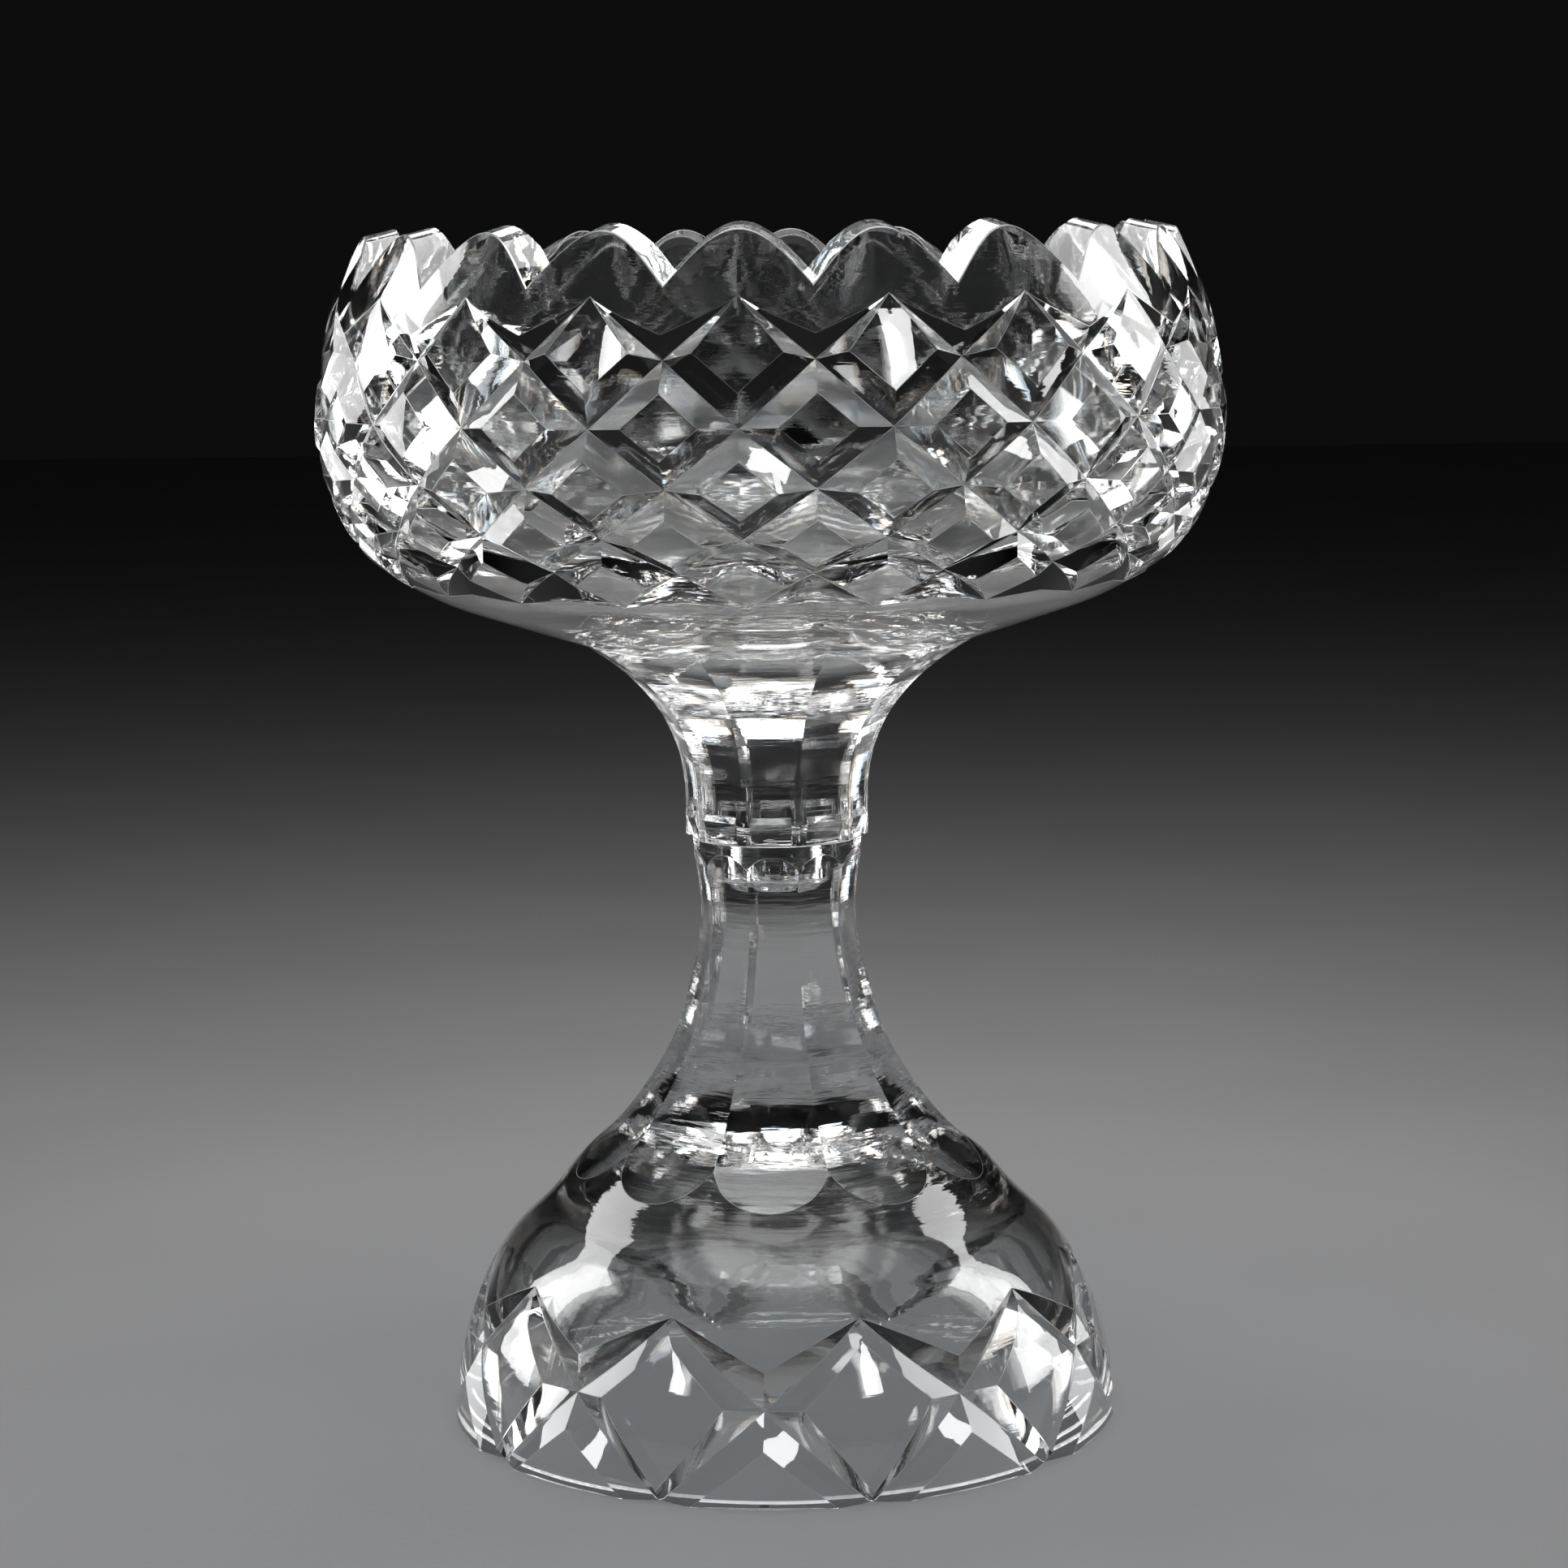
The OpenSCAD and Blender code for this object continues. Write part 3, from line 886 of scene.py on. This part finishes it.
def softbox(name, place, size, power, skip=None):
    """A rectangular soft light at place that faces the bowl and doesn't light the objects in skip."""
    light = bpy.data.lights.new(name, "AREA")
    light.shape = "RECTANGLE"
    light.size, light.size_y = size
    light.energy = power
    lamp = bpy.data.objects.new(name, light)
    lamp.location = place
    middle = Vector((0, 0, 0.7 * cad_box[1].z))
    lamp.rotation_euler = (middle - Vector(place)).to_track_quat("-Z", "Y").to_euler()
    bpy.context.scene.collection.objects.link(lamp)
    if skip is not None:
        lamp.light_linking.receiver_collection = skip


def lay_floor(colour):
    """Adds the floor, which is stage and not part of the object, and gives it."""
    half = 6.0
    corners = [(-half, -half, 0), (half, -half, 0), (half, half, 0), (-half, half, 0)]
    mesh = bpy.data.meshes.new("floor")
    mesh.from_pydata(corners, [], [(0, 1, 2, 3)])
    floor = bpy.data.objects.new("floor", mesh)
    mesh.materials.append(studio_floor(colour))
    bpy.context.scene.collection.objects.link(floor)
    return floor


def hang_lights(floor):
    """Adds the lights and a nearly black room."""
    # One soft light falls on the floor as well; the rest are flagged off it, and only show in the glass
    off_floor = bpy.data.collections.new("off_floor")
    off_floor.objects.link(floor)
    off_floor.collection_objects[0].light_linking.link_state = "EXCLUDE"
    softbox("top_light", (0.0, 0.05, 1.05), (0.6, 0.6), 6.0)
    softbox("back_light", (0.0, 0.55, 0.95), (0.6, 0.25), 3.0, off_floor)
    for side, word in ((-1, "left"), (1, "right")):
        softbox(f"{word}_strip", (0.85 * side, 0.2, 0.45), (0.36, 0.8), 6.0, off_floor)
        softbox(f"{word}_front_strip", (0.7 * side, -1.0, 0.7), (0.12, 0.5), 3.0, off_floor)

    world = bpy.data.worlds.new("studio")
    world.use_nodes = True
    world.node_tree.nodes["Background"].inputs["Color"].default_value = (0.004, 0.004, 0.004, 1)
    bpy.context.scene.world = world


def place_camera(sizes):
    """Adds the camera, nearly level with the rim and looking a little down."""
    lens = bpy.data.cameras.new("camera")
    lens.lens = 83.85  # focal length, for a sensor 36 mm wide
    lens.sensor_width = 36
    camera = bpy.data.objects.new("camera", lens)
    bpy.context.scene.collection.objects.link(camera)
    turn = Euler((0, 0, sizes.turn)).to_matrix()
    look = Euler((math.pi / 2 - sizes.tilt, 0, 0)).to_matrix()
    lean = Euler((0, 0, sizes.roll)).to_matrix()
    camera.rotation_euler = (turn @ look @ lean).to_euler()
    camera.location = turn @ Vector((sizes.aside, -sizes.distance, sizes.height))
    bpy.context.scene.camera = camera


def set_light_paths():
    """Lets light cross enough surfaces to come out of the cutting."""
    bpy.context.scene.view_settings.view_transform = "Standard"
    cycles = bpy.context.scene.cycles
    cycles.max_bounces = 28
    cycles.transmission_bounces = 28
    cycles.glossy_bounces = 8
    cycles.transparent_max_bounces = 24
    cycles.caustics_reflective = False
    cycles.caustics_refractive = False
    cycles.use_denoising = True


# ---- The add-on ----


class AddCutBowl(bpy.types.Operator):
    """Adds the diamond-cut bowl with its short stem and peg"""

    bl_idname = "punch_bowl.add_bowl"
    bl_label = "Cut Bowl"

    def execute(self, context):
        finish_glass(make_bowl(context.scene.bowl_sizes, context.scene.stand_sizes), "bowl", "bowl")
        return {"FINISHED"}


class AddFlutedStand(bpy.types.Operator):
    """Adds the fluted stand with its hollow foot"""

    bl_idname = "punch_bowl.add_stand"
    bl_label = "Fluted Stand"

    def execute(self, context):
        finish_glass(make_stand(context.scene.stand_sizes, context.scene.bowl_sizes), "stand", "stand")
        return {"FINISHED"}


class AddStudio(bpy.types.Operator):
    """Adds the floor, the lights and the camera"""

    bl_idname = "punch_bowl.add_studio"
    bl_label = "Studio"

    def execute(self, context):
        sizes = context.scene.stage_sizes
        hang_lights(lay_floor(sizes.floor_colour))
        place_camera(sizes)
        set_light_paths()
        return {"FINISHED"}


class PunchBowlPanel(bpy.types.Panel):
    """Lists the pieces of the punch bowl and their sizes"""

    bl_idname = "VIEW3D_PT_punch_bowl"
    bl_label = "Crystal Punch Bowl"
    bl_space_type = "VIEW_3D"
    bl_region_type = "UI"
    bl_category = "Punch Bowl"

    def draw(self, context):
        for operator, settings in STEPS:
            column = self.layout.column(align=True)
            column.operator(operator.bl_idname)
            for group_name in settings:
                group = getattr(context.scene, group_name)
                for name in group.__annotations__:
                    column.prop(group, name)


STEPS = [
    (AddCutBowl, ["bowl_sizes", "crystal_finish"]),
    (AddFlutedStand, ["stand_sizes"]),
    (AddStudio, ["stage_sizes"]),
]
GROUPS = {
    "bowl_sizes": BowlSizes,
    "stand_sizes": StandSizes,
    "crystal_finish": CrystalFinish,
    "stage_sizes": StageSizes,
}
CLASSES = [*GROUPS.values(), AddCutBowl, AddFlutedStand, AddStudio, PunchBowlPanel]


def register():
    for cls in CLASSES:
        bpy.utils.register_class(cls)
    for name, group in GROUPS.items():
        setattr(bpy.types.Scene, name, PointerProperty(type=group))


def unregister():
    for name in GROUPS:
        delattr(bpy.types.Scene, name)
    for cls in reversed(CLASSES):
        bpy.utils.unregister_class(cls)


def main():
    register()
    bpy.ops.punch_bowl.add_bowl()
    bpy.ops.punch_bowl.add_stand()
    bpy.ops.punch_bowl.add_studio()


if __name__ == "__main__":
    main()
